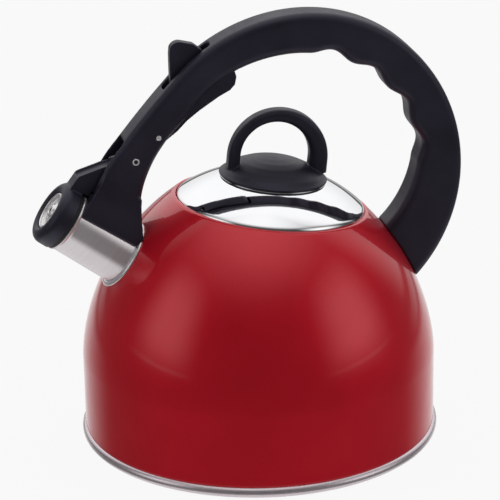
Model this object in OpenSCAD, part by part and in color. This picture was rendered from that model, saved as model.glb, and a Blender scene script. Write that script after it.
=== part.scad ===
// Stovetop whistling kettle: a painted steel dome on a capsule base, a lift-off
// lid with a loop knob, and a hoop handle. A finger trigger in the handle's
// front end rocks a second lever that raises the whistle cap off the spout.
// Millimetres. +Z is up, -X is the spout and +X the rear. The origin is the
// centre of the flat base, and the handle lies in the plane y = 0.

/* [Body] */
// Diameter of the steel base, the widest part of the body
base_d = 200; // [196:1:206]
// Height of the steel base capsule
base_h = 6; // [5.5:0.5:7]
// Height of the dome if it had no lid opening
dome_h = 153; // [151:1:155]
// Height where the straight side turns into the dome
shoulder_z = 46; // [42:1:50]
// Thickness of the sheet steel
wall = 1.2; // [0.8:0.1:1.4]

/* [Lid] */
// Diameter of the lid
lid_d = 103.6; // [102:0.2:105]
// Rise of the lid's dome above its rim
lid_rise = 17.8; // [17:0.1:19]
// Lean of the lid's axis towards the rear, in degrees
lid_tilt = 6.3; // [5:0.1:7]
// Diameter of the knob's pad
knob_d = 59.6; // [56:0.2:62]
// Depth of the knob's loop, front to back
knob_w = 11; // [9:0.5:13]

/* [Spout] */
// Angle of the spout above level, in degrees
spout_angle = 36.8; // [35:0.1:38]
// Outer diameter of the spout tube
spout_d = 34; // [32:0.5:35]
// Outer diameter of the whistle cap
cap_d = 36.4; // [36:0.2:38]

/* [Handle] */
// Outer radius of the handle's hoop
hoop_r = 93.5; // [92:0.5:95]
// Width of the handle
handle_w = 21; // [20:0.5:24]
// Width of the channel that holds the levers
channel_w = 14; // [13:0.5:15]
// Depth of the four finger scallops
scallop = 3.5; // [2:0.5:4]

/* [Hidden] */
$fn = 96;

red = [0.62, 0.04, 0.07];
steel = [0.80, 0.80, 0.82];
black = [0.07, 0.07, 0.09];
brass = [0.75, 0.60, 0.30];
grey = [0.55, 0.56, 0.58];
eps = 0.01;

// Body
base_r = base_d / 2;
body_r = base_r - 1.8;
plate_z = base_h - 1;
dome_steps = 30;
side_power = 1.04;
top_power = 1.16;

// Lid frame: the middle of the lid's rim circle, with +Z along the lid's axis
lid_x = 8.2;
lid_z = 132.8;
lid_r = lid_d / 2;
lid_t = 1;
lid_sphere = (lid_r * lid_r + lid_rise * lid_rise) / (2 * lid_rise);
lid_gap = 0.4;
seat_depth = 2;
seat_gap = 0.05;
neck_r = 46.8;
neck_depth = 9;
skirt_r = 46;
skirt_depth = 12;
knob_r = knob_d / 2;
pad_z = 13.3;
pad_top = 24.5;
pad_shoulder = [26, 17.2];
screw_r = 2;
insert_r = 3.5;
insert_top = 23;
loop_out = [1.5, 24.2];
loop_out_r = 27.8;
loop_in = [-0.3, 25.6];
loop_in_r = 19.3;

// Spout frame: the middle of the whistle's front disc, with +Z out along the
// spout, away from the body, and +X square to it and upwards
spout_x = -112.7;
spout_z = 136.7;
spout_r = spout_d / 2;
tube_t = 1;
cap_r = cap_d / 2;
cap_bore = cap_r - 3.6;
cup_r = 11;
whistle_hole_r = 1.3;
cap_front = 2.2;
cap_back = -8;
seal_back = -9.5;
lip_front = -9.8;
lip_r = 0.7;
tube_back = -53;
collar_r = 19.8;
collar_t = 1.2;

// Handle: a hoop about this point in the plane y = 0, given as [x, z]
hoop_c = [21.5, 147];
hoop_flat = 4.1;
tip_r = 69.2;
root_swell = 1.3;
root_angle = -46;
front_angle = 140;
scallop_from = 1;
scallop_to = 83.5;
cheek_front = -11.4;
foot_h = 8;
foot_rise = 3;
foot_w = 15.4;

// Levers: the two pins' places in the plane y = 0, given as [x, z]
arm_c = [-67.2, 163.6];
arm_pin_r = 2.1;
trigger_c = [-54.5, 176];
trigger_pin_r = 1.7;
pin_fit = 0.06;
lever_w = 12;
fin_w = 6;
notch_w = 6.2;
lever_ratio = 2.2;
pin_gap = norm(trigger_c - arm_c);
pins_dir = (arm_c - trigger_c) / pin_gap;
pins_up = [pins_dir.y, -pins_dir.x];
nose_r = 1.5;
nose_reach = pin_gap * lever_ratio / (1 + lever_ratio);
nose_c = trigger_c + pins_dir * nose_reach + pins_up * (nose_r + 0.15);

// ---- helpers ----

// A point at a distance and an angle from a centre, in a plane
function polar(c, r, a) = c + r * [cos(a), sin(a)];

// A smooth step from 0 at a to 1 at b
function ease(x, a, b) = let (t = max(0, min(1, (x - a) / (b - a)))) t * t * (3 - 2 * t);

// A point between p and q
function mix(p, q, t) = p + (q - p) * t;

// Points of an arc, ends included
function arc(c, r, a0, a1, n) = [for (i = [0:n]) polar(c, r, a0 + (a1 - a0) * i / n)];

// Draws a plane figure given as [x, z] as a slab w thick about y = 0
module slab(w) {
  rotate([90, 0, 0])
    linear_extrude(w, center = true)
      children();
}

// A round bar along y through a point given as [x, z]
module bar(p, r, w) {
  translate([p.x, 0, p.y])
    rotate([90, 0, 0])
      cylinder(r = r, h = w, center = true);
}

// A straight wire between two points given as [x, z], at a given y
module wire(p, q, y, r) {
  d = q - p;
  translate([p.x, y, p.y])
    rotate([0, atan2(d.x, d.y), 0])
      cylinder(r = r, h = norm(d), $fn = 24);
}

module at_lid() {
  translate([lid_x, 0, lid_z])
    rotate([0, lid_tilt, 0])
      children();
}

module at_spout() {
  translate([spout_x, 0, spout_z])
    rotate([0, spout_angle - 90, 0])
      children();
}

// The point of the spout frame's X-Z plane at height h and distance out z
function spout_point(h, z) = [
  spout_x + h * sin(spout_angle) - z * cos(spout_angle),
  spout_z + h * cos(spout_angle) + z * sin(spout_angle)
];

// ---- body ----

function dome_points(grow) = [
  for (i = [0:dome_steps])
    let (a = 90 * i / dome_steps)
      [
        (body_r + grow) * pow(cos(a), side_power),
        shoulder_z + (dome_h - shoulder_z + grow) * pow(sin(a), top_power)
      ]
];

module dome(grow, bottom) {
  rotate_extrude()
    polygon(concat([[0, bottom], [body_r + grow, bottom]], dome_points(grow)));
}

module seat_ring() {
  out_r = lid_r + lid_gap + wall;
  rotate_extrude()
    polygon([
      [neck_r, -neck_depth],
      [neck_r + wall, -neck_depth],
      [neck_r + wall, -seat_depth - wall],
      [out_r, -seat_depth - wall],
      [out_r, 4],
      [neck_r, 4]
    ]);
}

module body_shell() {
  color(red)
    difference() {
      union() {
        difference() {
          dome(0, plate_z);
          dome(-wall, plate_z - 1);
        }
        intersection() {
          dome(0, plate_z);
          at_lid() seat_ring();
        }
      }
      at_lid()
        translate([0, 0, -seat_depth])
          cylinder(r = lid_r + lid_gap, h = 30);
      at_spout()
        translate([0, 0, tube_back - 10])
          cylinder(r = spout_r, h = 40);
    }
}

module bottom_plate() {
  color(steel)
    translate([0, 0, plate_z])
      cylinder(r = body_r - wall, h = wall);
}

module heat_disc() {
  color(grey)
    translate([0, 0, wall])
      cylinder(r = base_r - 4, h = plate_z - wall);
}

// A pressed steel cup under the heat disc, with a half-round bead at its rim
module base_cap() {
  bead_r = base_h / 2;
  bead = arc([base_r - bead_r, bead_r], bead_r, -90, 90, 16);
  color(steel)
    difference() {
      rotate_extrude() polygon(concat([[0, 0]], bead, [[0, base_h]]));
      translate([0, 0, wall]) cylinder(r = base_r - 4, h = base_h);
      translate([0, 0, plate_z]) cylinder(r = body_r, h = base_h);
    }
}

// ---- spout ----

module spout_tube() {
  bore_r = spout_r - tube_t;
  lip_c = [spout_r, lip_front - lip_r];
  color(steel)
    at_spout()
      rotate_extrude()
        polygon(concat(
          [[bore_r, tube_back], [spout_r, tube_back], [spout_r, lip_c.y - lip_r]],
          arc(lip_c, lip_r, -60, 90, 8),
          [[bore_r, lip_front - 0.5]]
        ));
}

// The space of the ring round the tube's root, which follows the dome
module collar_block() {
  intersection() {
    dome(collar_t, plate_z);
    at_spout() translate([0, 0, tube_back]) cylinder(r = collar_r, h = 20);
  }
}

module spout_collar() {
  color(steel)
    difference() {
      collar_block();
      dome(0, plate_z - 1);
      at_spout() translate([0, 0, tube_back - 10]) cylinder(r = spout_r, h = 40);
    }
}

// ---- handle brackets and screws ----

bracket_from = -31;
bracket_to = -17;
bracket_top = 18.8;
floor_h = 20.6;
front_screw_z = -24;

// A saddle plate welded along the top of the tube
module front_bracket_block() {
  at_spout()
    translate([0, -6, bracket_from])
      cube([bracket_top, 12, bracket_to - bracket_from]);
}

module front_bracket() {
  color(steel)
    difference() {
      front_bracket_block();
      at_spout() translate([0, 0, tube_back]) cylinder(r = spout_r, h = 60);
      at_spout()
        translate([0, 0, front_screw_z])
          rotate([0, 90, 0])
            cylinder(r = screw_r, h = 40);
    }
}

module front_screw() {
  color(steel)
    at_spout()
      translate([0, 0, front_screw_z])
        rotate([0, 90, 0]) {
          translate([0, 0, spout_r + 0.2]) cylinder(r = screw_r, h = floor_h - spout_r);
          translate([0, 0, floor_h]) cylinder(r = 3.6, h = 2.2);
        }
}

// Rear root frame: on the dome's side, with +Z square to the dome
rear_x = 79.4;
rear_z = 102.2;
rear_tilt = 54;
rear_plate = [24, 13, 3];
rear_boss = 5;
rear_reach = 36;

module at_rear() {
  translate([rear_x, 0, rear_z])
    rotate([0, rear_tilt, 0])
      children();
}

module rear_bracket_block() {
  at_rear() {
    translate([-rear_plate.x / 2, -rear_plate.y / 2, -4])
      cube([rear_plate.x, rear_plate.y, 4 + rear_plate.z]);
    cylinder(r = rear_boss, h = 12);
  }
}

module rear_bracket() {
  color(steel)
    difference() {
      rear_bracket_block();
      dome(0, plate_z);
      at_rear() translate([0, 0, 3]) cylinder(r = screw_r, h = 20);
    }
}

module rear_screw() {
  color(steel)
    at_rear() {
      translate([0, 0, 3.5]) cylinder(r = screw_r, h = rear_reach - 3.5);
      translate([0, 0, rear_reach]) cylinder(r = 3.6, h = 2.4);
    }
}

// ---- handle ----

function hoop_out(a) = hoop_r - hoop_flat * ease(a, 50, 125);

// The hoop's inner radius: a tapering root, four scallops and a plain front
function hoop_in(a) =
  a < scallop_from ? tip_r - root_swell + 0.24 * (a - scallop_from)
  : a < scallop_to
    ? tip_r - root_swell * (1 - ease(a, scallop_from, 20))
      + scallop / 2 * (1 - cos(4 * 360 * (a - scallop_from) / (scallop_to - scallop_from)))
  : tip_r + 1.7 * ease(a, 95, front_angle);

// Pairs of outer and inner points down the straight front of the handle
front_pairs = [
  [[-55.5, 195.2], [-40, 183.7]],
  [[-64.3, 185.1], [-47.6, 175.6]],
  [[-73.2, 174.4], [-54.8, 166]],
  [[-81, 165], [-59.9, 156.4]],
  [[-86.5, 156.5], [-63.3, 147]],
  [spout_point(25, cheek_front + 1), [-65, 137]],
  [spout_point(18, cheek_front), [-65.3, 124]]
];

hoop_pairs = concat(
  [
    for (a = [root_angle:2:front_angle])
      [polar(hoop_c, hoop_out(a), a), polar(hoop_c, hoop_in(a), a)]
  ],
  front_pairs
);

// The handle's side view, drawn in by an inset on both edges
function handle_outline(inset) = let (n = len(hoop_pairs) - 1) concat(
  [for (p = hoop_pairs) p[0] + (p[1] - p[0]) / norm(p[1] - p[0]) * inset],
  [
    for (i = [n:-1:0])
      let (p = hoop_pairs[i])
        p[1] + (p[0] - p[1]) / norm(p[1] - p[0]) * inset
  ]
);

// Width and inset of each layer that rounds the handle's edges
edge_layers = [[handle_w - 7, 0], [handle_w - 3.4, 0.8], [handle_w - 1.2, 2.2], [handle_w, 4]];

// The flared front foot that sits astride the tube, as [height, half width]
foot_half = [
  [foot_h, foot_w],
  [12, foot_w - 0.4],
  [18, foot_w - 2],
  [25, handle_w / 2 + 1],
  [33, handle_w / 2]
];

// The foot's side view: ahead of it the cap, behind it the lid, and its lower
// edge rising towards the body
foot_side = [
  spout_point(foot_h, cheek_front),
  spout_point(34, cheek_front),
  [-64, 147],
  [-65, 137],
  [-65.3, 124],
  spout_point(foot_h + foot_rise, tube_back)
];

module foot() {
  intersection() {
    at_spout()
      translate([0, 0, -60])
        linear_extrude(60)
          polygon(concat(
            [for (p = foot_half) p],
            [for (i = [len(foot_half) - 1:-1:0]) [foot_half[i].x, -foot_half[i].y]]
          ));
    slab(40) polygon(foot_side);
  }
}

// The channel's side view: open at the front, and below where the trigger hangs
module channel() {
  roof = 4.5;
  slope_in = [0.747, -0.664] * roof;
  slab(channel_w)
    polygon(concat(
      [
        spout_point(floor_h, 10),
        spout_point(floor_h, -33),
        [-69.6, 137],
        [-68.4, 147],
        [-64.6, 157.4],
        [-58.3, 165.6],
        [-53, 171],
        [-46, 168],
        [-8, 180],
        [-8, 215]
      ],
      arc(hoop_c, hoop_r - hoop_flat - roof, 111, front_angle - 2, 6),
      [[-47.2, 204.2] + slope_in, [-73.4, 174] + slope_in, [-78, 180], [-115, 165]]
    ));
}

// The slot that the thumb fin comes up through
module fin_slot() {
  slab(fin_w + 1.6)
    polygon([[-50, 190], [-50, 214], [-24, 230], [-24, 205]]);
}

module handle() {
  color(black)
    difference() {
      union() {
        for (layer = edge_layers)
          slab(layer[0]) polygon(handle_outline(layer[1]));
        foot();
      }
      channel();
      fin_slot();
      dome(0, plate_z);
      collar_block();
      at_spout() translate([0, 0, tube_back]) cylinder(r = spout_r, h = 60);
      front_bracket_block();
      at_spout()
        translate([0, 0, front_screw_z])
          rotate([0, 90, 0])
            cylinder(r = screw_r, h = floor_h + 5);
      rear_bracket_block();
      at_rear() cylinder(r = screw_r, h = 60);
      at_rear() translate([0, 0, rear_reach]) cylinder(r = 4.2, h = 30);
      bar(arm_c, arm_pin_r, 40);
      bar(trigger_c, trigger_pin_r, 40);
    }
}

// ---- pins and spring ----

pin_len = handle_w + 0.8;

module arm_pin() {
  color(steel)
    difference() {
      bar(arm_c, arm_pin_r, pin_len);
      bar(arm_c, arm_pin_r / 2, pin_len + 2);
    }
}

module trigger_pin() {
  color(steel)
    bar(trigger_c, trigger_pin_r, pin_len);
}

// Six coils round the arm's pin, with one leg on the arm and one on the other pin
module return_spring() {
  wire_r = 0.4;
  coil_r = 3.1;
  coils = 6;
  pitch = 0.85;
  half = pitch * (coils - 1) / 2;
  color(grey) {
    for (i = [0:coils - 1])
      translate([arm_c.x, i * pitch - half, arm_c.y])
        rotate([90, 0, 0])
          rotate_extrude()
            translate([coil_r, 0])
              circle(r = wire_r + 0.05, $fn = 16);
    wire(polar(arm_c, coil_r, 95), [-80, 162.6], half, wire_r);
    wire(
      arm_c + pins_up * coil_r,
      trigger_c + pins_up * (trigger_pin_r + wire_r + 0.05),
      -half,
      wire_r
    );
  }
}

// ---- lid ----

function lid_h(r, depth = 0) =
  lid_rise - lid_sphere + sqrt(pow(lid_sphere - depth, 2) - r * r);

function lid_curve(r0, r1, depth, n) = [
  for (i = [0:n]) let (r = r0 + (r1 - r0) * i / n) [r, lid_h(r, depth)]
];

module lid_shell() {
  hole_r = screw_r + 0.2;
  color(steel)
    at_lid()
      rotate_extrude()
        polygon(concat(
          lid_curve(hole_r, lid_r, 0, 24),
          [[lid_r, seat_gap - seat_depth], [lid_r - lid_t, seat_gap - seat_depth]],
          lid_curve(lid_r - lid_t, hole_r, lid_t, 24)
        ));
}

// The sleeve under the lid that locates it in the neck
module lid_skirt() {
  inner = skirt_r - lid_t;
  color(steel)
    at_lid()
      rotate_extrude()
        polygon([
          [inner, -skirt_depth],
          [skirt_r, -skirt_depth],
          [skirt_r, lid_h(skirt_r, lid_t)],
          [inner - 4, lid_h(inner - 4, lid_t)],
          [inner - 4, lid_h(inner - 4, lid_t) - 1],
          [inner, lid_h(skirt_r, lid_t) - 1]
        ]);
}

module pad() {
  rim = knob_r;
  top_r = (pow(pad_shoulder.x, 2) + pow(pad_top - pad_shoulder.y, 2))
    / (2 * (pad_top - pad_shoulder.y));
  rotate_extrude()
    difference() {
      polygon(concat(
        [
          for (i = [0:12])
            let (r = pad_shoulder.x * i / 12)
              [r, pad_top - top_r + sqrt(top_r * top_r - r * r)]
        ],
        [[rim - 1.6, pad_z + 1.6], [rim, pad_z + 0.8], [rim, pad_z], [0, pad_z]]
      ));
      translate([0, lid_rise - lid_sphere]) circle(r = lid_sphere + 0.5, $fn = 360);
    }
}

module loop_figure(inset) {
  difference() {
    union() {
      translate(loop_out) circle(r = loop_out_r - inset);
      translate([loop_out.x - loop_out_r + inset, pad_z + 3])
        square([2 * (loop_out_r - inset), loop_out.y - pad_z - 3]);
    }
    translate(loop_in) circle(r = loop_in_r + inset);
    translate([loop_in.x - loop_in_r - inset, -10])
      square([2 * (loop_in_r + inset), loop_in.y + 10]);
    translate([-50, -50]) square([100, 50 + pad_z + 3]);
  }
}

module knob() {
  color(black)
    at_lid()
      difference() {
        union() {
          pad();
          for (layer = [[knob_w - 4, 0], [knob_w - 1.6, 0.9], [knob_w, 2.2]])
            slab(layer[0]) loop_figure(layer[1]);
        }
        cylinder(r = insert_r, h = insert_top);
      }
}

// A thin bright ring between the knob's pad and the lid
module knob_trim() {
  inner = knob_r - 4;
  outer = knob_r - 0.6;
  lift = 0.03;
  color(steel)
    at_lid()
      rotate_extrude()
        polygon([
          [inner, lid_h(inner) + lift],
          [outer, lid_h(outer) + lift],
          [outer, lid_h(outer) + 0.45],
          [inner, lid_h(inner) + 0.45]
        ]);
}

module knob_screw() {
  head_r = 4.5;
  under = lid_h(head_r, lid_t) - 0.02;
  color(steel)
    at_lid() {
      translate([0, 0, under - 2.4]) cylinder(r = head_r, h = 2.4);
      translate([0, 0, under]) cylinder(r = screw_r, h = insert_top - 1 - under);
    }
}

module knob_insert() {
  color(brass)
    at_lid()
      difference() {
        translate([0, 0, lid_rise]) cylinder(r = insert_r, h = insert_top - lid_rise);
        cylinder(r = screw_r, h = insert_top - 1);
      }
}

// ---- whistle lever ----

// The cap's half section in the spout frame, as [radius, distance out]
module cap_section() {
  edge_r = 5;
  mouth_r = cup_r + 0.1;
  polygon(concat(
    [[mouth_r, cap_front - 1]],
    arc([cap_r - edge_r, cap_front - edge_r], edge_r, 90, 0, 8),
    [[cap_r, cap_back], [cap_bore, cap_back], [cap_bore, -1], [mouth_r, -1]]
  ));
}

// The arm's upper edge, from the pin forward to the cap
arm_top = [[-73, 163.2], [-78, 162], [-84, 160.8], [-97, 156.8], spout_point(24, 0)];

// The arm's side view; its web comes down behind the cap, just clear of the lip
module arm_figure() {
  web_h = cap_r;
  polygon(concat(
    [arm_c + [-1, 3.6]],
    arm_top,
    [
      spout_point(16, 0),
      spout_point(16, -7),
      spout_point(web_h, -7.9),
      spout_point(web_h, cheek_front + 0.5),
      spout_point(floor_h + 0.5, cheek_front + 0.5),
      spout_point(24, -15),
      spout_point(31, -17),
      [-75, 157],
      arm_c + [0, -3.6]
    ]
  ));
}

// The groove along the arm's top, between its two rims
module arm_groove() {
  rim = 1.6;
  depth = 1.2;
  last = len(arm_top) - 1;
  slab(lever_w - 2 * rim)
    polygon(concat(
      [for (p = arm_top) p + [0, 5]],
      [for (i = [last:-1:0]) arm_top[i] - [0, depth]]
    ));
}

// The tongue that the trigger's nose pushes on
module tongue_figure() {
  tip = 6.8;
  polygon([
    arm_c,
    arm_c - pins_dir * tip,
    arm_c - pins_dir * tip - pins_up * 2.2,
    arm_c - pins_up * 3.4 + pins_dir * 0.5
  ]);
}

module whistle_lever() {
  color(black)
    difference() {
      union() {
        slab(lever_w) arm_figure();
        slab(lever_w) tongue_figure();
        bar(arm_c, 3.7, lever_w);
        at_spout() rotate_extrude() cap_section();
      }
      arm_groove();
      at_spout() translate([0, 0, cap_back - 1]) cylinder(r = cap_bore, h = -cap_back);
      bar(arm_c, arm_pin_r + pin_fit, 40);
      bar(arm_c, 5, notch_w);
      slab(notch_w)
        polygon([
          arm_c + pins_up * 5,
          arm_c - pins_dir * 9 + pins_up * 5,
          arm_c - pins_dir * 9 - pins_up * 5,
          arm_c - pins_up * 5
        ]);
    }
}

// Soft ring that closes on the spout's lip
module cap_seal() {
  color(black)
    at_spout()
      translate([0, 0, seal_back])
        difference() {
          cylinder(r = cap_r - 0.5, h = cap_back - seal_back);
          translate([0, 0, -1]) cylinder(r = cap_bore, h = 10);
        }
}

// A dished disc with a rolled rim and a raised centre with the whistle's hole
module whistle_front() {
  t = 0.6;
  color(steel)
    at_spout()
      rotate_extrude()
        polygon([
          [whistle_hole_r, 0.8],
          [3, 0.8],
          [4.3, -0.5],
          [cup_r - 1.7, -0.5],
          [cup_r - 1.4, 0.4],
          [cup_r - 0.8, 0.9],
          [cup_r - 0.2, 0.6],
          [cup_r, 0],
          [cup_r, -5],
          [cup_r - t, -5],
          [cup_r - t, -0.5 - t],
          [4.1, -0.5 - t],
          [2.8, 0.8 - t],
          [whistle_hole_r, 0.8 - t]
        ]);
}

module whistle_rear() {
  color(steel)
    at_spout()
      translate([0, 0, -6])
        difference() {
          cylinder(r = cap_bore - 0.1, h = 0.6);
          translate([0, 0, -1]) cylinder(r = whistle_hole_r, h = 3);
        }
}

// ---- trigger ----

// The trigger's side view without the fin: hub, body and hanging tail
module tail_figure() {
  polygon([
    trigger_c + [-2.5, 4.2],
    [-45.3, 191],
    [-27.5, 208],
    [-15, 212.5],
    [-12, 210.5],
    [-10.5, 205.5],
    [-11.4, 201.2],
    [-14, 198.4],
    [-20.5, 195],
    [-31, 188.3],
    [-38, 183],
    [-43.5, 177.5],
    trigger_c + [4.5, -3.4]
  ]);
}

// The thumb fin's side view
module fin_figure() {
  polygon(concat(
    [[-46, 188], [-46.1, 219]],
    arc([-40.9, 220.9], 5.2, 160, 70, 6),
    [[-33, 224.3], [-27.8, 220.2], [-27.5, 205]]
  ));
}

module nose_figure() {
  polygon([
    trigger_c + pins_up * 4.8,
    nose_c + pins_up * nose_r,
    nose_c - pins_up * nose_r,
    trigger_c
  ]);
}

module trigger() {
  color(black)
    difference() {
      union() {
        slab(lever_w) tail_figure();
        slab(fin_w) fin_figure();
        slab(lever_w) nose_figure();
        bar(nose_c, nose_r, lever_w);
        bar(trigger_c, 5, lever_w);
      }
      bar(trigger_c, trigger_pin_r + pin_fit, 40);
      bar(trigger_c, 6, notch_w);
      slab(notch_w)
        polygon([
          trigger_c + pins_up * 6,
          trigger_c + pins_dir * 18 + pins_up * 6,
          trigger_c + pins_dir * 18 - pins_up * 3,
          trigger_c - pins_up * 6
        ]);
    }
}

body_shell();
bottom_plate();
heat_disc();
base_cap();
spout_tube();
spout_collar();
front_bracket();
front_screw();
rear_bracket();
rear_screw();
handle();
arm_pin();
trigger_pin();
return_spring();
lid_shell();
lid_skirt();
knob();
knob_trim();
knob_screw();
knob_insert();
whistle_lever();
cap_seal();
whistle_front();
whistle_rear();
trigger();
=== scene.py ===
"""Looks of a stovetop whistling kettle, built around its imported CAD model.

Lengths are written in millimetres, and become metres as meshes are made. The
frame is the CAD model's: +Z up, -X towards the spout, the handle in y = 0.
"""

import math

import bmesh
import bpy
from mathutils import Matrix, Vector


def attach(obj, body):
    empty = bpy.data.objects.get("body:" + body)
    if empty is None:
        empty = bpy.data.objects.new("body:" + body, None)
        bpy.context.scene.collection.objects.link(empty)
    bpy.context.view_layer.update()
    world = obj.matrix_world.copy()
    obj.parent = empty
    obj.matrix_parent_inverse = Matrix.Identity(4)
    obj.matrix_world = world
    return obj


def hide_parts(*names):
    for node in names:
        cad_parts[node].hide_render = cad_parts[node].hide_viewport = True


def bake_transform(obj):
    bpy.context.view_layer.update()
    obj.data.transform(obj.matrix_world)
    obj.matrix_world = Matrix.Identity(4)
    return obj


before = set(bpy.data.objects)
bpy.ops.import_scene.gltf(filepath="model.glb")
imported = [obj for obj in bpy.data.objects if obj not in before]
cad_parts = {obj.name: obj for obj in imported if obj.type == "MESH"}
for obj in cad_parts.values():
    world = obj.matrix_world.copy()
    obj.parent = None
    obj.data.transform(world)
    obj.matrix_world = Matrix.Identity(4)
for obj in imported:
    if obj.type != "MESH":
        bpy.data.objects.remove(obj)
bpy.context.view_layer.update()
MM = 0.001


# ---- geometry helpers ----


def polar(centre, radius, degrees):
    """A point at a distance and an angle from a centre, in a plane."""
    a = math.radians(degrees)
    return (centre[0] + radius * math.cos(a), centre[1] + radius * math.sin(a))


def arc(centre, radius, start, end, steps):
    """Points of an arc, ends included."""
    return [polar(centre, radius, start + (end - start) * i / steps) for i in range(steps + 1)]


def ease(x, a, b):
    """A smooth step from 0 at a to 1 at b."""
    t = max(0.0, min(1.0, (x - a) / (b - a)))
    return t * t * (3 - 2 * t)


def rounded(points, radius, steps):
    """A closed outline with each corner turned into a curve that starts a radius before it."""
    out = []
    n = len(points)
    for i, p in enumerate(points):
        before, after = points[i - 1], points[(i + 1) % n]
        here = Vector(p)
        reach = min(radius, (Vector(before) - here).length * 0.45, (Vector(after) - here).length * 0.45)
        a = here + (Vector(before) - here).normalized() * reach
        b = here + (Vector(after) - here).normalized() * reach
        for k in range(steps + 1):
            t = k / steps
            out.append(tuple(a * (1 - t) ** 2 + here * 2 * t * (1 - t) + b * t * t))
    return out


def spline(points, steps):
    """Points of a smooth curve through the given ones (Catmull-Rom)."""
    pts = [Vector(p) for p in points]
    pts = [pts[0] * 2 - pts[1]] + pts + [pts[-1] * 2 - pts[-2]]
    out = []
    for i in range(1, len(pts) - 2):
        p0, p1, p2, p3 = pts[i - 1 : i + 3]
        for k in range(steps):
            t = k / steps
            out.append(
                0.5 * (2 * p1 + (p2 - p0) * t + (2 * p0 - 5 * p1 + 4 * p2 - p3) * t * t
                       + (3 * p1 - p0 - 3 * p2 + p3) * t ** 3)
            )
    out.append(pts[-2])
    return [tuple(p) for p in out]


def turned_frame(origin, degrees):
    """A frame at a point, turned about Y, in millimetres."""
    return Matrix.Translation(Vector(origin)) @ Matrix.Rotation(math.radians(degrees), 4, "Y")


def mesh_object(name, vertices, faces, place=Matrix.Identity(4)):
    """A smooth-shaded object from points in millimetres."""
    mesh = bpy.data.meshes.new(name)
    mesh.from_pydata([(place @ Vector(v)) * MM for v in vertices], [], faces)
    mesh.validate()
    bm = bmesh.new()
    bm.from_mesh(mesh)
    bmesh.ops.recalc_face_normals(bm, faces=bm.faces)
    bm.to_mesh(mesh)
    bm.free()
    mesh.polygons.foreach_set("use_smooth", [True] * len(mesh.polygons))
    obj = bpy.data.objects.new(name, mesh)
    bpy.context.scene.collection.objects.link(obj)
    return obj


def lathe(name, profile, place=Matrix.Identity(4), segments=160, closed=False):
    """Turns a profile of (radius, height) points about the frame's Z."""
    vertices, rings = [], []
    for radius, height in profile:
        if radius < 1e-6:
            rings.append([len(vertices)])
            vertices.append((0, 0, height))
            continue
        rings.append(list(range(len(vertices), len(vertices) + segments)))
        for k in range(segments):
            a = 2 * math.pi * k / segments
            vertices.append((radius * math.cos(a), radius * math.sin(a), height))
    faces = []
    count = len(rings)
    for i in range(count if closed else count - 1):
        lower, upper = rings[i], rings[(i + 1) % count]
        for k in range(segments):
            nxt = (k + 1) % segments
            if len(lower) == 1:
                faces.append((lower[0], upper[nxt], upper[k]))
            elif len(upper) == 1:
                faces.append((lower[k], lower[nxt], upper[0]))
            else:
                faces.append((lower[k], lower[nxt], upper[nxt], upper[k]))
    return mesh_object(name, vertices, faces, place)


def loft(name, sections, place=Matrix.Identity(4), capped=True):
    """Joins closed sections of equal point counts into a skin with flat ends."""
    n = len(sections[0])
    vertices = [p for s in sections for p in s]
    faces = []
    for i in range(len(sections) - 1):
        for k in range(n):
            nxt = (k + 1) % n
            faces.append((i * n + k, i * n + nxt, (i + 1) * n + nxt, (i + 1) * n + k))
    if capped:
        faces.append(tuple(range(n)))
        faces.append(tuple(len(vertices) - n + k for k in range(n)))
    return mesh_object(name, vertices, faces, place)


def prism(name, outline, half_width, place=Matrix.Identity(4)):
    """A plane figure of (x, z) points, drawn out to both sides of y = 0."""
    sections = [[(x, y, z) for x, z in outline] for y in (-half_width, half_width)]
    return loft(name, sections, place)


def tube(name, path, radius, sides):
    """A round wire along a path of (x, y, z) points."""
    pts = [Vector(p) for p in path]
    side = None
    sections = []
    for i, p in enumerate(pts):
        ahead = (pts[min(i + 1, len(pts) - 1)] - pts[max(i - 1, 0)]).normalized()
        if side is None:
            side = ahead.orthogonal().normalized()
        side = (side - ahead * side.dot(ahead)).normalized()
        up = ahead.cross(side)
        ring = []
        for k in range(sides):
            a = 2 * math.pi * k / sides
            ring.append(tuple(p + side * radius * math.cos(a) + up * radius * math.sin(a)))
        sections.append(ring)
    return loft(name, sections)


def settle(obj):
    """Replaces an object's mesh with what its modifiers make of it."""
    graph = bpy.context.evaluated_depsgraph_get()
    graph.update()
    mesh = bpy.data.meshes.new_from_object(obj.evaluated_get(graph))
    obj.modifiers.clear()
    old = obj.data
    obj.data = mesh
    bpy.data.meshes.remove(old)
    return obj


def combine(obj, others, operation):
    """Adds or cuts other closed solids, which are then dropped."""
    for other in others:
        step = obj.modifiers.new(operation.lower(), "BOOLEAN")
        step.operation = operation
        step.solver = "EXACT"
        step.object = other
    settle(obj)
    for other in others:
        bpy.data.objects.remove(other)
    return obj


def mould(obj, voxel, passes):
    """Remeshes a solid into even quads and softens its edges, as a moulding has."""
    remesh = obj.modifiers.new("remesh", "REMESH")
    remesh.mode = "VOXEL"
    remesh.voxel_size = voxel * MM
    remesh.use_smooth_shade = True
    soften = obj.modifiers.new("soften", "SMOOTH")
    soften.factor = 0.5
    soften.iterations = passes
    settle(obj)
    obj.data.polygons.foreach_set("use_smooth", [True] * len(obj.data.polygons))
    return obj


def copy_of(node, name):
    """A new object with a copy of a CAD node's mesh, welded into one skin."""
    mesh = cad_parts[node].data.copy()
    bm = bmesh.new()
    bm.from_mesh(mesh)
    bmesh.ops.remove_doubles(bm, verts=bm.verts, dist=1e-6)
    bm.to_mesh(mesh)
    bm.free()
    mesh.materials.clear()
    obj = bpy.data.objects.new(name, mesh)
    bpy.context.scene.collection.objects.link(obj)
    return obj


def dress(obj, nodes, slot, *materials):
    """Hides the CAD nodes that a piece stands for and gives it its finish."""
    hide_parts(*nodes)
    obj.data.materials.clear()
    for m in materials:
        obj.data.materials.append(m)
    return obj


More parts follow.
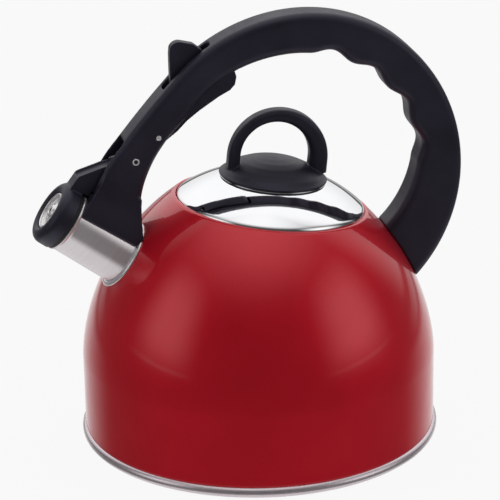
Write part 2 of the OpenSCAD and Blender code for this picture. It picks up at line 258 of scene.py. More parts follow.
def place_piece(obj, body, nodes, slot, *materials):
    """Dresses a piece that rides on one body."""
    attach(obj, body)
    return dress(obj, nodes, slot, *materials)


# ---- materials ----


class Finish:
    """A Principled material whose sockets are driven by small procedural nodes."""

    def __init__(self, name, **sockets):
        self.material = bpy.data.materials.new(name)
        self.material.use_nodes = True
        self.tree = self.material.node_tree
        self.shader = self.tree.nodes["Principled BSDF"]
        self.where = self.node("ShaderNodeTexCoord").outputs["Object"]
        self.bump = None
        self.set(self.shader, sockets)

    def set(self, node, sockets):
        for key, value in sockets.items():
            socket = node.inputs[key]
            if isinstance(value, bpy.types.NodeSocket):
                self.tree.links.new(value, socket)
            else:
                socket.default_value = value

    def node(self, kind, settings=None, **sockets):
        made = self.tree.nodes.new(kind)
        for key, value in (settings or {}).items():
            setattr(made, key, value)
        self.set(made, {k.replace("_", " "): v for k, v in sockets.items()})
        return made

    def noise(self, scale, detail=3, roughness=0.5, where=None):
        where = where or self.where
        made = self.node("ShaderNodeTexNoise", Vector=where, Scale=scale, Detail=detail, Roughness=roughness)
        return made.outputs["Fac"]

    def stretched(self, scale, turn=0):
        """The object's own coordinates, scaled along each axis of a frame turned about Y."""
        made = self.node(
            "ShaderNodeMapping", {"vector_type": "TEXTURE"}, Vector=self.where,
            Rotation=(0, math.radians(turn), 0),
        )
        sized = self.node("ShaderNodeVectorMath", {"operation": "MULTIPLY"})
        self.tree.links.new(made.outputs["Vector"], sized.inputs[0])
        sized.inputs[1].default_value = scale
        return sized.outputs["Vector"]

    def ramp(self, value, low, high, to_low=0.0, to_high=1.0):
        made = self.node(
            "ShaderNodeMapRange", Value=value, From_Min=low, From_Max=high,
            To_Min=to_low, To_Max=to_high,
        )
        return made.outputs["Result"]

    def blend(self, value, a, b):
        made = self.node("ShaderNodeMix", {"data_type": "RGBA"})
        self.tree.links.new(value, made.inputs[0])
        for socket, colour in ((made.inputs[6], a), (made.inputs[7], b)):
            if isinstance(colour, bpy.types.NodeSocket):
                self.tree.links.new(colour, socket)
            else:
                socket.default_value = (*colour, 1)
        return made.outputs[2]

    def add(self, a, b):
        made = self.node("ShaderNodeMath", {"operation": "ADD"})
        for socket, value in zip(made.inputs, (a, b)):
            self.tree.links.new(value, socket)
        return made.outputs[0]

    def relief(self, height, depth):
        """Adds bumps of a given depth in millimetres."""
        made = self.node("ShaderNodeBump", Height=height, Distance=depth * MM, Strength=1.0)
        if self.bump is not None:
            self.tree.links.new(self.bump, made.inputs["Normal"])
        self.bump = made.outputs["Normal"]
        self.set(self.shader, {"Normal": self.bump})
        return made


def red_enamel():
    """Translucent red lacquer over bright steel, under a clear gloss coat."""
    f = Finish("red_enamel", Metallic=0.4)
    f.set(f.shader, {"Coat Weight": 1.0, "Coat Roughness": 0.06, "Coat IOR": 1.45, "IOR": 1.5})
    f.set(f.shader, {"Specular IOR Level": 0.15})
    cloud = f.noise(9, 4)
    speck = f.noise(900, 2)
    deep = f.blend(f.ramp(cloud, 0.35, 0.65), (0.70, 0.0055, 0.020), (0.78, 0.0075, 0.026))
    f.set(f.shader, {"Base Color": f.blend(f.ramp(speck, 0.62, 0.72, 0, 0.35), deep, (0.84, 0.018, 0.038))})
    f.set(f.shader, {"Roughness": f.ramp(f.noise(60, 3), 0.3, 0.7, 0.36, 0.44)})
    f.relief(f.noise(160, 1), 0.012)
    return f.material


def mirror_steel():
    """Polished sheet with the faintest polishing haze."""
    f = Finish("mirror_steel", Metallic=1.0)
    haze = f.noise(22, 4, 0.6)
    lines = f.noise(1, 3, 0.6, where=f.stretched((60, 60, 1800), 6.3))
    f.set(f.shader, {"Base Color": f.blend(f.ramp(haze, 0.3, 0.7), (0.86, 0.87, 0.89), (0.91, 0.91, 0.92))})
    f.set(f.shader, {"Roughness": f.ramp(lines, 0.3, 0.75, 0.03, 0.07)})
    f.relief(lines, 0.0006)
    return f.material


def turned_steel(name, turn, tint=(0.70, 0.69, 0.70), roughness=(0.14, 0.24), pitch=2600, haze=0.0):
    """Polished steel with fine lines round the axis that leans by turn degrees."""
    f = Finish(name, Metallic=1.0 - haze)
    lines = f.noise(1, 4, 0.7, where=f.stretched((30, 30, pitch), turn))
    cloud = f.noise(45, 3)
    dull = tuple(c * 0.86 for c in tint)
    f.set(f.shader, {"Base Color": f.blend(f.ramp(lines, 0.3, 0.7), dull, tint)})
    uneven = f.add(f.ramp(lines, 0.3, 0.7, *roughness), f.ramp(cloud, 0.4, 0.8, 0, 0.06))
    f.set(f.shader, {"Roughness": uneven})
    f.relief(lines, 0.002)
    return f.material


def satin_steel():
    """Plain stamped steel of the brackets, the screws, the lid skirt and the whistle's rear disc."""
    f = Finish("satin_steel", Metallic=1.0)
    grain = f.noise(700, 3, 0.6)
    f.set(f.shader, {"Base Color": f.blend(f.ramp(grain, 0.3, 0.7), (0.50, 0.50, 0.52), (0.64, 0.64, 0.65))})
    f.set(f.shader, {"Roughness": f.ramp(f.noise(120, 3), 0.3, 0.7, 0.26, 0.42)})
    f.relief(grain, 0.004)
    return f.material


def wire_steel():
    f = Finish("wire_steel", Metallic=1.0)
    f.set(f.shader, {"Base Color": f.blend(f.noise(400, 2), (0.30, 0.30, 0.32), (0.48, 0.48, 0.50))})
    f.set(f.shader, {"Roughness": f.ramp(f.noise(900, 2), 0.3, 0.7, 0.25, 0.4)})
    return f.material


def rolled_aluminium():
    f = Finish("rolled_aluminium", Metallic=1.0)
    grain = f.noise(1, 3, 0.6, where=f.stretched((1500, 40, 40)))
    f.set(f.shader, {"Base Color": f.blend(grain, (0.62, 0.63, 0.64), (0.76, 0.77, 0.78))})
    f.set(f.shader, {"Roughness": f.ramp(grain, 0.3, 0.7, 0.3, 0.45)})
    f.relief(grain, 0.004)
    return f.material


def machined_brass():
    f = Finish("machined_brass", Metallic=1.0)
    grain = f.noise(1, 3, 0.6, where=f.stretched((60, 60, 2500), 6.3))
    f.set(f.shader, {"Base Color": f.blend(grain, (0.55, 0.38, 0.14), (0.78, 0.60, 0.28))})
    f.set(f.shader, {"Roughness": f.ramp(grain, 0.3, 0.7, 0.2, 0.35)})
    return f.material


def black_phenolic():
    """Satin moulded black with a fine skin, small pores and slightly rubbed patches."""
    f = Finish("black_phenolic")
    f.set(f.shader, {"IOR": 1.5, "Specular IOR Level": 0.55, "Specular Tint": (0.82, 0.80, 1.0, 1)})
    cloud = f.noise(28, 4, 0.6)
    pores = f.noise(1500, 2, 0.5)
    skin = f.noise(420, 3, 0.5)
    dark = f.blend(f.ramp(cloud, 0.3, 0.7), (0.013, 0.011, 0.019), (0.021, 0.018, 0.030))
    f.set(f.shader, {"Base Color": f.blend(f.ramp(pores, 0.66, 0.74, 0, 0.6), dark, (0.035, 0.034, 0.042))})
    rubbed = f.add(f.ramp(cloud, 0.3, 0.7, 0.42, 0.52), f.ramp(skin, 0.3, 0.7, -0.03, 0.03))
    f.set(f.shader, {"Roughness": rubbed})
    f.relief(skin, 0.012)
    f.relief(pores, 0.006)
    return f.material


def black_rubber():
    f = Finish("black_rubber")
    f.set(f.shader, {"Base Color": f.blend(f.noise(300, 3), (0.012, 0.012, 0.013), (0.022, 0.022, 0.024))})
    f.set(f.shader, {"Roughness": f.ramp(f.noise(500, 3), 0.3, 0.7, 0.55, 0.75)})
    f.relief(f.noise(900, 2), 0.02)
    return f.material


# ---- the frames and curves of the object ----

BASE_R = 100
BODY_R = 98.2
PLATE_Z = 5
SHOULDER_Z = 46
DOME_RISE = 107
SIDE_POWER = 1.04
TOP_POWER = 1.16
WALL = 1.2
LID_TILT = 6.3
LID_AT = (8.2, 0, 132.8)
LID = turned_frame(LID_AT, LID_TILT)
LID_R = 51.8
LID_RISE = 17.8
LID_SPHERE = (LID_R ** 2 + LID_RISE ** 2) / (2 * LID_RISE)
SPOUT_ANGLE = 36.8
SPOUT_AT = (-112.7, 0, 136.7)
SPOUT = turned_frame(SPOUT_AT, SPOUT_ANGLE - 90)
REAR = turned_frame((79.4, 0, 102.2), 54)
TUBE_R = 17
LIP_FRONT = -9.8
CUP_R = 11
COLLAR_R = 19.8
HOOP = (21.5, 147)
ARM_PIN = (-67.2, 163.6)
TRIGGER_PIN = (-54.5, 176)


def dome_point(degrees, grow=0.0):
    """(radius, height) of the dome's side view at an angle from 0, the shoulder, to 90."""
    a = math.radians(min(degrees, 89.999))
    radius = (BODY_R + grow) * math.cos(a) ** SIDE_POWER
    return (radius, SHOULDER_Z + (DOME_RISE + grow) * math.sin(a) ** TOP_POWER)


def dome_radius(z, grow=0.0):
    """The body's radius at a height."""
    if z <= SHOULDER_Z:
        return BODY_R + grow
    s = min(1.0, ((z - SHOULDER_Z) / (DOME_RISE + grow)) ** (1 / TOP_POWER))
    return (BODY_R + grow) * math.cos(math.asin(s)) ** SIDE_POWER


def dome_solid(name, grow):
    """The closed dome, for cutting other pieces to it."""
    profile = [(0, PLATE_Z), (BODY_R + grow, PLATE_Z)]
    profile += [dome_point(i * 1.5, grow) for i in range(60)]
    profile.append((0, SHOULDER_Z + DOME_RISE + grow))
    return lathe(name, profile)


def lid_height(radius, depth=0.0):
    return LID_RISE - LID_SPHERE + math.sqrt((LID_SPHERE - depth) ** 2 - radius ** 2)


def spout_point(height, out):
    """(x, z) of the spout frame's point at a height above its axis and a distance out."""
    p = SPOUT @ Vector((height, 0, out))
    return (p.x, p.z)


# ---- body ----


def along_lid_axis(radius, angle):
    """Height over the lid frame at which a line beside the lid's axis meets the dome."""
    a = math.radians(angle)
    low, high = -40.0, 25.0
    for _ in range(40):
        middle = (low + high) / 2
        p = LID @ Vector((radius * math.cos(a), radius * math.sin(a), middle))
        if math.hypot(p.x, p.y) < dome_radius(p.z):
            low = middle
        else:
            high = middle
    return low


def body_shell(enamel, inside):
    """The dome's skin, from the neck under the lid out over the rim and down to the base."""
    segments, rows = 256, 110
    open_r, rim, seat, neck_r, neck = LID_R + 0.4, 1.0, -2.0, 46.8, -9.0
    sections = []
    for k in range(segments):
        angle = 360 * k / segments
        a = math.radians(angle)
        top = along_lid_axis(open_r + rim, angle)
        start = LID @ Vector(((open_r + rim) * math.cos(a), (open_r + rim) * math.sin(a), top))
        start_angle = math.atan2(start.y, start.x)
        turn = (a - start_angle + math.pi) % (2 * math.pi) - math.pi
        column = []
        inner = [(neck_r + WALL, neck), (neck_r, neck), (neck_r, seat + 0.2), (neck_r + 0.3, seat)]
        inner += [(open_r - 0.6, seat), (open_r - 0.1, seat + 0.3)]
        edge_h = top - 0.75
        inner += [(open_r, seat + 0.8), (open_r, edge_h - 0.2), (open_r + 0.12, edge_h + 0.25)]
        inner += [(open_r + 0.45, edge_h + 0.6)]
        for r, h in inner:
            column.append(LID @ Vector((r * math.cos(a), r * math.sin(a), h)))
        for i in range(rows + 1):
            s = i / rows
            z = start.z + (PLATE_Z + 1.2 - start.z) * s
            phi = start_angle + turn * ease(s, 0, 0.8)
            r = dome_radius(z)
            column.append(Vector((r * math.cos(phi), r * math.sin(phi), z)))
        for r, z in ((BODY_R - 0.25, PLATE_Z + 0.35), (BODY_R - 0.8, PLATE_Z), (BODY_R - WALL, PLATE_Z)):
            column.append(Vector((r * math.cos(a), r * math.sin(a), z)))
        for i in range(rows, -1, -1):
            s = i / rows
            z = start.z - 2 + (PLATE_Z + 1.2 - start.z + 2) * s
            phi = start_angle + turn * ease(s, 0, 0.8)
            r = dome_radius(z, -WALL)
            column.append(Vector((r * math.cos(phi), r * math.sin(phi), z)))
        sections.append([tuple(p) for p in column])
    n = len(sections[0])
    vertices = [p for s in sections for p in s]
    faces = []
    for k in range(segments):
        nxt = (k + 1) % segments
        for j in range(n):
            after = (j + 1) % n
            faces.append((k * n + j, nxt * n + j, nxt * n + after, k * n + after))
    shell = mesh_object("body_shell_skin", vertices, faces)
    hole = lathe("hole", [(0, -70), (TUBE_R, -70), (TUBE_R, -28), (0, -28)], SPOUT, 96)
    combine(shell, [hole], "DIFFERENCE")
    place_piece(shell, "body", ["body_shell"], "red_paint", enamel, inside)
    for face in shell.data.polygons:
        middle = face.center / MM
        radius = math.hypot(middle.x, middle.y)
        if radius < dome_radius(middle.z) - WALL * 0.7 and (LID.inverted() @ middle).z < -8.9:
            face.material_index = 1
    return shell


def base_cap(steel):
    """The pressed capsule with its half-round bead."""
    bead = arc((BASE_R - 3, 3), 3, -80, 88, 14)
    profile = [(0, 0), (BASE_R - 12, 0), (BASE_R - 6, 0)] + bead
    profile += [(BODY_R + 0.05, 5.7), (BODY_R + 0.05, PLATE_Z), (BASE_R - 4, PLATE_Z)]
    profile += [(BASE_R - 4, WALL), (0, WALL)]
    made = lathe("base_cap_skin", profile, segments=256)
    return place_piece(made, "body", ["base_cap"], "polished_steel", steel)


# ---- spout ----


def spout_tube(steel):
    """The tube, with its end rolled outwards into a lip."""
    bore = TUBE_R - 1
    lip = arc((TUBE_R + 0.05, LIP_FRONT - 0.7), 0.7, -70, 100, 10)
    lip += [(bore + 0.35, LIP_FRONT - 0.1), (bore, LIP_FRONT - 0.6)]
    profile = [(bore, -52), (bore, -53), (TUBE_R, -53), (TUBE_R, -52.6), (TUBE_R, -51)]
    profile += [(TUBE_R, LIP_FRONT - 2.6), (TUBE_R, LIP_FRONT - 1.6)] + lip + [(bore, LIP_FRONT - 2)]
    made = lathe("spout_tube_skin", profile, SPOUT, 128, closed=True)
    return place_piece(made, "body", ["spout_tube"], "polished_steel", steel)


def spout_collar(steel):
    """A thin ring pressed to the dome's curve, with a rolled edge."""
    segments = 160
    bore = TUBE_R + 0.02
    ring = [(COLLAR_R - 0.15, 0.0), (COLLAR_R, 0.3), (COLLAR_R - 0.1, 0.75), (COLLAR_R - 0.45, 1.08)]
    ring += [(COLLAR_R - 0.9, 1.18), (TUBE_R + 0.9, 1.18), (TUBE_R + 0.35, 1.0), (bore, 0.7), (bore, 0.0)]
    sections = []
    for k in range(segments):
        a = 2 * math.pi * k / segments
        sections.append([on_dome(r, a, lift) for r, lift in ring])
    made = loft("spout_collar_skin", sections + sections[:1], capped=False)
    return place_piece(made, "body", ["spout_collar"], "polished_steel", steel)


def on_dome(radius, angle, lift):
    """The point where a line beside the spout's axis meets the dome grown by lift."""
    low, high = -75.0, -20.0
    for _ in range(40):
        middle = (low + high) / 2
        p = SPOUT @ Vector((radius * math.cos(angle), radius * math.sin(angle), middle))
        if math.hypot(p.x, p.y) < dome_radius(p.z, lift):
            low = middle
        else:
            high = middle
    return tuple(SPOUT @ Vector((radius * math.cos(angle), radius * math.sin(angle), low)))


# ---- handle ----

HOOP_R = 93.5
HOOP_FLAT = 4.1
GRIP_R = 69.2
ROOT_SWELL = 1.3
ROOT_ANGLE = -46
FRONT_ANGLE = 140
SCALLOPS = (1, 83.5)
SCALLOP = 3.5
HANDLE_W = 21
CHANNEL_W = 14
CHEEK_FRONT = -11.4
FOOT_H = 8
FOOT_RISE = 3
FLOOR_H = 20.6


def hoop_outer(a):
    return HOOP_R - HOOP_FLAT * ease(a, 50, 125)


def hoop_inner(a):
    """The hoop's inner radius: a tapering root, four scallops and a plain front."""
    start, end = SCALLOPS
    if a < start:
        return GRIP_R - ROOT_SWELL + 0.24 * (a - start)
    if a < end:
        wave = 1 - math.cos(2 * math.pi * 4 * (a - start) / (end - start))
        return GRIP_R - ROOT_SWELL * (1 - ease(a, start, 20)) + SCALLOP / 2 * wave
    return GRIP_R + 1.7 * ease(a, 95, FRONT_ANGLE)


def hoop_pairs():
    """Outer and inner points down the whole handle, from its root to its foot."""
    pairs = []
    angle = ROOT_ANGLE
    while angle <= FRONT_ANGLE:
        pairs.append((polar(HOOP, hoop_outer(angle), angle), polar(HOOP, hoop_inner(angle), angle)))
        angle += 1.5
    front = [
        ((-55.5, 195.2), (-40, 183.7)),
        ((-64.3, 185.1), (-47.6, 175.6)),
        ((-73.2, 174.4), (-54.8, 166)),
        ((-81, 165), (-59.9, 156.4)),
        ((-86.5, 156.5), (-63.3, 147)),
        (spout_point(25, CHEEK_FRONT + 1), (-65, 137)),
        (spout_point(18, CHEEK_FRONT), (-65.3, 124)),
    ]
    outer = spline([pairs[-1][0]] + [p[0] for p in front], 6)[1:]
    inner = spline([pairs[-1][1]] + [p[1] for p in front], 6)[1:]
    return pairs + list(zip(outer, inner))


def handle_section(outer, inner, half_width, corner=4.2, crown=0.35):
    """A rounded rectangle between an outer and an inner point, a little crowned."""
    o, i = Vector(outer), Vector(inner)
    depth = (i - o).length
    run = (i - o) / depth
    corner = min(corner, depth / 2 - 0.1, half_width - 0.1)
    out = []
    corners = [
        (corner, half_width - corner, 180, 90),
        (depth - corner, half_width - corner, 90, 0),
        (depth - corner, corner - half_width, 0, -90),
        (corner, corner - half_width, -90, -180),
    ]
    for along, across, start, end in corners:
        out += arc((along, across), corner, start, end, 7)
    points = []
    for along, across in out:
        flat = (across / half_width) ** 2
        lift = crown * flat if along < depth / 2 else -crown * flat
        p = o + run * (along + lift)
        points.append((p.x, across, p.y))
    return points


def channel_solid():
    """The space that the levers move in, open in front and under the trigger's tail."""
    roof = 4.5
    slope_in = Vector((0.747, -0.664)) * roof
    start, end = Vector((-47.2, 204.2)) + slope_in, Vector((-73.4, 174)) + slope_in
    outline = [
        spout_point(FLOOR_H, 10), spout_point(FLOOR_H, -33), (-69.6, 137), (-68.4, 147), (-64.6, 157.4),
        (-58.3, 165.6), (-53, 171), (-46, 168), (-8, 180), (-8, 215),
    ]
    outline += arc(HOOP, HOOP_R - HOOP_FLAT - roof, 111, FRONT_ANGLE - 2, 6)
    outline += [tuple(start), tuple(end), (-78, 180), (-115, 165)]
    return prism("channel", outline, CHANNEL_W / 2)


def foot_solid():
    """The flared foot that sits astride the tube."""
    half = [(FOOT_H, 15.4), (12, 15), (18, 13.4), (25, 11.5), (33, 10.5)]
    curve = spline(half, 4)
    outline = curve + [(h, -w) for h, w in reversed(curve)]
    sections = [[(h, w, out) for h, w in outline] for out in (-60, CHEEK_FRONT)]
    foot = loft("foot", sections, SPOUT)
    side = prism(
        "side",
        [
            spout_point(FOOT_H, CHEEK_FRONT), spout_point(34, CHEEK_FRONT), (-64, 147), (-65, 137),
            (-65.3, 124), spout_point(FOOT_H + FOOT_RISE, -53),
        ],
        20,
    )
    return combine(foot, [side], "INTERSECT")


def collar_room():
    room = lathe("room", [(0, -60), (COLLAR_R + 0.1, -60), (COLLAR_R + 0.1, -33), (0, -33)], SPOUT, 96)
    return combine(room, [dome_solid("over_dome", 1.3)], "INTERSECT")


def handle(phenolic):
    sections = [handle_section(o, i, HANDLE_W / 2) for o, i in hoop_pairs()]
    hoop = loft("handle_moulding", sections)
    combine(hoop, [foot_solid()], "UNION")
    slot = [(-50, 190), (-50, 214), (-24, 230), (-24, 205)]
    well = lathe("well", [(0, 36), (4.2, 36), (4.2, 70), (0, 70)], REAR, 48)
    cuts = [
        channel_solid(),
        prism("fin_slot", slot, 3.8),
        dome_solid("seat", 0.05),
        collar_room(),
        lathe("saddle", [(0, -60), (TUBE_R + 0.05, -60), (TUBE_R + 0.05, 8), (0, 8)], SPOUT, 96),
        well,
    ]
    combine(hoop, cuts, "DIFFERENCE")
    mould(hoop, 0.68, 4)
    return place_piece(hoop, "body", ["handle"], "black_phenolic", phenolic)


# ---- lid ----


def lid_shell(steel):
    outer = [(r, lid_height(r)) for r in [2.2 + (LID_R - 1.4 - 2.2) * i / 60 for i in range(61)]]
    rim = [(LID_R - 0.75, lid_height(LID_R - 0.8) - 0.12), (LID_R - 0.25, -0.3)]
    rim += [(LID_R, -0.9), (LID_R, -1.75), (LID_R - 0.15, -1.95), (LID_R - 0.85, -1.95)]
    rim += [(LID_R - 1, -1.75), (LID_R - 1, -0.5)]
    inner = [(r, lid_height(r, 1)) for r in [LID_R - 1.6 - (LID_R - 3.8) * i / 30 for i in range(31)]]
    made = lathe("lid_shell_skin", outer + rim + inner, LID, 192, closed=True)
    return place_piece(made, "lid", ["lid_shell"], "mirror_steel", steel)


def lid_skirt(steel):
    inner, outer = 45, 46
    top = lid_height(outer, 1) - 0.05
    profile = rounded(
        [(inner, -12), (outer, -12), (outer, top), (inner - 4, lid_height(inner - 4, 1) - 0.05),
         (inner - 4, lid_height(inner - 4, 1) - 1), (inner, top - 1)],
        radius=0.4,
        steps=3,
    )
    made = lathe("lid_skirt_skin", profile, LID, 160, closed=True)
    return place_piece(made, "lid", ["lid_skirt"], "satin_steel", steel)


def knob(phenolic):
    """The pad with its upright loop, one moulding."""
    rim, seat_z, top_z, shoulder = 29.8, 13.3, 24.5, (26, 17.2)
    bow = (shoulder[0] ** 2 + (top_z - shoulder[1]) ** 2) / (2 * (top_z - shoulder[1]))
    profile = [(0, lid_height(0) + 0.5), (15, lid_height(15) + 0.5), (rim - 3, lid_height(rim - 3) + 0.5)]
    profile += [(rim - 0.4, seat_z), (rim, seat_z + 0.3), (rim, seat_z + 0.9), (rim - 1.6, seat_z + 1.9)]
    profile += [(r, top_z - bow + math.sqrt(bow * bow - r * r)) for r in (shoulder[0], 22, 17, 12, 6)]
    profile.append((0, top_z))
    pad = lathe("knob_moulding", profile, LID, 128)
    out_c, out_r, in_c, in_r = (1.5, 24.2), 27.8, (-0.3, 25.6), 19.3
    pairs = [((out_c[0] + out_r, 17), (in_c[0] + in_r, 17))]
    for i in range(49):
        a = 180 * i / 48
        pairs.append((polar(out_c, out_r, a), polar(in_c, in_r, a)))
    pairs.append(((out_c[0] - out_r, 17), (in_c[0] - in_r, 17)))
    sections = [handle_section(o, i, 5.5, 3.1, 0.2) for o, i in pairs]
    loop = loft("loop", sections, LID)
    combine(pad, [loop], "UNION")
    mould(pad, 0.42, 4)
    return place_piece(pad, "lid", ["knob"], "black_phenolic", phenolic)


def knob_trim(steel):
    inner, outer = 25.8, 29.2
    profile = [(inner, lid_height(inner) + 0.02), (outer, lid_height(outer) + 0.02)]
    profile += [(outer + 0.05, lid_height(outer) + 0.3), (outer - 0.2, lid_height(outer - 0.2) + 0.43)]
    profile.append((inner, lid_height(inner) + 0.43))
    made = lathe("knob_trim_ring", profile, LID, 160, closed=True)
    return place_piece(made, "lid", ["knob_trim"], "polished_steel", steel)


# ---- levers ----


def whistle_front(steel):
    """The dished disc with a rolled rim and a raised whistle boss."""
    rim = CUP_R - 0.8
    profile = [(1.3, 0.25), (1.3, 0.65), (1.5, 0.8), (2.7, 0.8), (3.2, 0.6), (3.9, -0.15), (4.5, -0.45)]
    profile += [(5.2, -0.5), (rim - 1.3, -0.5), (rim - 0.8, -0.3), (rim - 0.6, 0.2)]
    profile += arc((rim, 0.2), 0.7, 170, -10, 10)
    profile += [(CUP_R, -0.2), (CUP_R, -4.9), (CUP_R - 0.5, -4.9), (CUP_R - 0.5, -1.1)]
    profile += [(4.1, -1.1), (2.8, 0.25)]
    made = lathe("whistle_front_disc", profile, SPOUT, 96, closed=True)
    return place_piece(made, "whistle", ["whistle_front"], "polished_steel", steel)


def moulded_lever(node, name, body, phenolic):
    """A lever's own CAD shape with its edges softened as a moulding's are."""
    made = mould(copy_of(node, name), 0.4, 4)
    return place_piece(made, body, [node], "black_phenolic", phenolic)


def return_spring(steel):
    """Six close coils round the arm's pin."""
    coil_r, wire_r, coils, pitch = 3.1, 0.4, 6, 0.85
    half = pitch * (coils - 1) / 2
    path = [(-80, half, 163.1)]
    turns = coils - 1
    steps = 28 * turns
    start = 80
    for i in range(steps + 1):
        a = start + 360 * turns * i / steps
        x, z = polar(ARM_PIN, coil_r, a)
        path.append((x, half - 2 * half * i / steps, z))
    direction = (Vector(ARM_PIN) - Vector(TRIGGER_PIN)).normalized()
    up = Vector((direction.y, -direction.x))
    end = Vector(TRIGGER_PIN) + up * 2.15
    path.append((end.x, -half, end.y))
    made = tube("return_spring_wire", path, wire_r, 10)
    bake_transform(made)
    return dress(made, ["return_spring"], "spring_steel", steel)


PIN_END = HANDLE_W / 2 + 0.38


def pin_profile(end, rest):
    """A pin's profile: an end, its straight run, the same end mirrored and what closes it."""
    side = end[-1][0]
    return end + [(side, 9), (side, -9)] + [(r, -y) for r, y in reversed(end)] + rest


def arm_pin(steel):
    """A hollow pin with rounded ends."""
    outer, inner = 2.1, 1.05
    end = [(inner, PIN_END - 1.2), (inner + 0.05, PIN_END - 0.5), (inner + 0.2, PIN_END - 0.15)]
    end.append((inner + 0.45, PIN_END))
    end += [(outer - 0.45, PIN_END - 0.1), (outer - 0.15, PIN_END - 0.4), (outer, PIN_END - 0.9)]
    profile = pin_profile(end, [(inner, -9), (inner, 9)])
    made = lathe("arm_pin_tube", profile, across_handle(ARM_PIN), 48, closed=True)
    return place_piece(made, "body", ["arm_pin"], "satin_steel", steel)


def trigger_pin(steel):
    """A solid pin with domed ends."""
    end = [(0, PIN_END), (0.6, PIN_END - 0.05), (1.1, PIN_END - 0.2)]
    end += [(1.5, PIN_END - 0.45), (1.7, PIN_END - 0.9)]
    profile = pin_profile(end, [])
    made = lathe("trigger_pin_rod", profile, across_handle(TRIGGER_PIN), 48)
    return place_piece(made, "body", ["trigger_pin"], "satin_steel", steel)


def across_handle(place):
    """A frame at an (x, z) point with its Z across the handle, along -Y."""
    return Matrix.Translation((place[0], 0, place[1])) @ Matrix.Rotation(math.radians(90), 4, "X")


# ---- the stage ----


def pale_floor():
    """A wide pale floor that lifts the light under the object."""
    size = 9000
    corners = [(-size, -size, 0), (size, -size, 0), (size, size, 0), (-size, size, 0)]
    floor = mesh_object("floor", corners, [(0, 1, 2, 3)])
    f = Finish("pale_floor", Roughness=0.9)
    f.set(f.shader, {"Base Color": (0.03, 0.03, 0.03, 1), "Specular IOR Level": 0.0})
    seen = f.node("ShaderNodeLightPath").outputs["Is Camera Ray"]
    f.set(f.shader, {"Emission Color": (1, 1, 1, 1), "Emission Strength": f.ramp(seen, 0, 1, 0.54, 0.925)})
    floor.data.materials.append(f.material)
    floor.visible_glossy = False
    return floor


class Sky:
    """The light from each direction, built up from smooth steps along its X, Y and Z."""

    def __init__(self, name):
        world = bpy.data.worlds.new(name)
        world.use_nodes = True
        bpy.context.scene.world = world
        self.tree = world.node_tree
        self.shader = self.tree.nodes["Background"]
        self.shader.inputs["Color"].default_value = (1, 1, 1, 1)
        split = self.tree.nodes.new("ShaderNodeSeparateXYZ")
        coords = self.tree.nodes.new("ShaderNodeTexCoord")
        self.tree.links.new(coords.outputs["Generated"], split.inputs[0])
        self.x, self.y, self.z = split.outputs
        self.azimuth = self.math("ARCTAN2", self.x, self.math("MULTIPLY", self.y, -1))

    def math(self, operation, *values):
        made = self.tree.nodes.new("ShaderNodeMath")
        made.operation = operation
        for socket, value in zip(made.inputs, values):
            if isinstance(value, bpy.types.NodeSocket):
                self.tree.links.new(value, socket)
            else:
                socket.default_value = value
        return made.outputs[0]

    def step(self, value, low, high, to_low=0.0, to_high=1.0):
        """A smooth step; give high before low to step down."""
        made = self.tree.nodes.new("ShaderNodeMapRange")
        made.interpolation_type = "SMOOTHSTEP"
        self.tree.links.new(value, made.inputs["Value"])
        for key, number in (("From Min", low), ("From Max", high), ("To Min", to_low), ("To Max", to_high)):
            made.inputs[key].default_value = number
        return made.outputs["Result"]

    def product(self, first, *others):
        for other in others:
            first = self.math("MULTIPLY", first, other)
        return first

    def brightest(self, first, *others):
        for other in others:
            first = self.math("MAXIMUM", first, other)
        return first

    def band(self, value, low, high, soft):
        """1 between low and high, falling to 0 over a soft distance outside them."""
        rise = self.step(value, low - soft, low)
        fall = self.step(value, high, high + soft, 1.0, 0.0)
        return self.math("MULTIPLY", rise, fall)

    def softbox(self, azimuth, half_width, soft, low, high, radiance):
        """A large soft panel standing to one side, with a brighter line along its foot."""
        centre, half, edge = (math.radians(v) for v in (azimuth, half_width, soft))
        across = self.band(self.azimuth, centre - half, centre + half, edge)
        face = self.product(self.band(self.z, low, high, 0.38), across, radiance)
        foot = self.product(self.band(self.z, 0.03, 0.05, 0.02), across, radiance * 0.6)
        return self.math("MAXIMUM", face, foot)


def studio_world():
    """A white room behind and above, a dark one behind the camera, and a softbox to each side."""
    sky = Sky("studio")
    overhead = sky.product(sky.math("POWER", sky.step(sky.z, 0.42, 1.05), 2.6), 1.05)
    rear = sky.math("ADD", sky.y, sky.math("MULTIPLY", sky.x, 0.25))
    upper_rear = sky.math("ADD", rear, sky.math("MULTIPLY", sky.z, 0.75))
    fade = sky.step(sky.z, 0.0, 0.5, 0.8, 1.0)
    wall = sky.product(sky.step(upper_rear, 0.55, 0.95), sky.step(sky.z, 0.0, 0.05), fade)
    horizon = sky.product(sky.step(rear, 0.5, 0.9), sky.band(sky.z, -0.12, -0.07, 0.04), 0.4)
    ground = sky.product(sky.step(rear, 0.3, 1.05), sky.step(sky.z, -0.14, -0.22), 0.88)
    under = sky.product(sky.step(sky.z, -0.45, -0.75), 0.75)
    left = sky.softbox(-79, 4, 26, 0.30, 0.48, 1.0)
    right = sky.softbox(60, 4, 30, 0.28, 0.45, 1.1)
    lit = sky.brightest(wall, horizon, ground, under, overhead, left, right)
    glow = sky.math("ADD", lit, 0.07)
    seen = sky.tree.nodes.new("ShaderNodeLightPath").outputs["Is Camera Ray"]
    strength = sky.math("ADD", sky.product(glow, sky.math("SUBTRACT", 1.0, seen)), sky.product(seen, 0.94))
    sky.tree.links.new(strength, sky.shader.inputs["Strength"])


def direction(azimuth, elevation):
    """A unit vector: azimuth 0 is -Y, towards the camera, and 90 is +X."""
    a, e = math.radians(azimuth), math.radians(elevation)
    return Vector((math.sin(a) * math.cos(e), -math.cos(a) * math.cos(e), math.sin(e)))


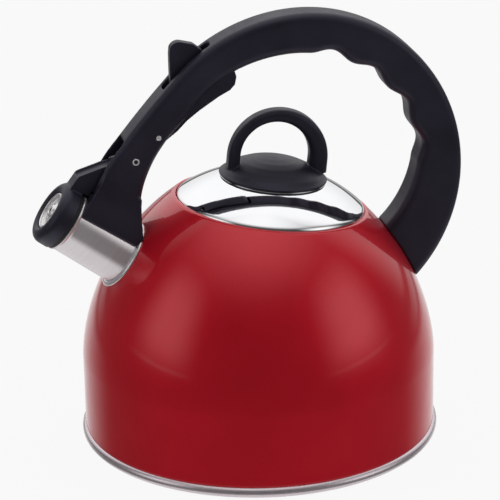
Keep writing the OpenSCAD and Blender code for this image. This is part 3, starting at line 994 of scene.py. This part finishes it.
def camera():
    """The photograph's viewpoint: 20 degrees above the horizon, a little to the spout's side."""
    azimuth, elevation, roll, distance = -11.65, 19.98, 0.99, 1.3041
    target = Vector((0, 0, 0.10909))
    data = bpy.data.cameras.new("camera")
    data.sensor_width = 36
    data.lens = 170.06
    data.shift_x, data.shift_y = -0.01314, -0.01836
    cam = bpy.data.objects.new("camera", data)
    bpy.context.scene.collection.objects.link(cam)
    back = direction(azimuth, elevation)
    side = Vector((0, 0, 1)).cross(back).normalized()
    up = back.cross(side)
    r = math.radians(roll)
    side, up = side * math.cos(r) - up * math.sin(r), side * math.sin(r) + up * math.cos(r)
    facing = Matrix((side, up, back)).transposed().to_4x4()
    cam.matrix_world = Matrix.Translation(target + back * distance) @ facing
    bpy.context.scene.camera = cam


# ---- assembly ----

enamel = red_enamel()
mirror = mirror_steel()
plain = satin_steel()
wire = wire_steel()
phenolic = black_phenolic()
rubber = black_rubber()
# The pinkish tints of base_steel, spout_steel and disc_steel are a painted reflection of the red body, not a
# colour of the steel.
base_steel = turned_steel("base_steel", 0, (0.80, 0.71, 0.75), (0.20, 0.30), haze=0.3)
spout_steel = turned_steel("spout_steel", SPOUT_ANGLE - 90, (0.92, 0.87, 0.89), (0.12, 0.20), haze=0.42)
disc_steel = turned_steel("disc_steel", SPOUT_ANGLE - 90, (0.94, 0.91, 0.92), (0.12, 0.18), haze=0.4)
pin_steel = turned_steel("pin_steel", 0, (0.88, 0.87, 0.88), (0.28, 0.38), haze=0.6)
lid_steel = turned_steel("trim_steel", LID_TILT, roughness=(0.08, 0.14))
inside = turned_steel("inside_steel", 0, (0.60, 0.60, 0.61), (0.25, 0.4), 900)

body_shell(enamel, inside)
base_cap(base_steel)
spout_tube(spout_steel)
spout_collar(spout_steel)
handle(phenolic)
lid_shell(mirror)
lid_skirt(plain)
knob(phenolic)
knob_trim(lid_steel)
whistle_front(disc_steel)
moulded_lever("whistle_lever", "whistle_lever_moulding", "whistle", phenolic)
moulded_lever("trigger", "trigger_moulding", "trigger", phenolic)
return_spring(wire)
arm_pin(pin_steel)
trigger_pin(pin_steel)

CARRIED = {
    "bottom_plate": inside,
    "heat_disc": rolled_aluminium(),
    "front_bracket": plain,
    "front_screw": plain,
    "rear_bracket": plain,
    "rear_screw": plain,
    "knob_screw": plain,
    "knob_insert": machined_brass(),
    "cap_seal": rubber,
    "whistle_rear": plain,
}
for node_name, finish in CARRIED.items():
    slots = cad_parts[node_name].data.materials
    slots.clear()
    slots.append(finish)

pale_floor()
studio_world()
camera()
bpy.context.scene.view_settings.view_transform = "Standard"
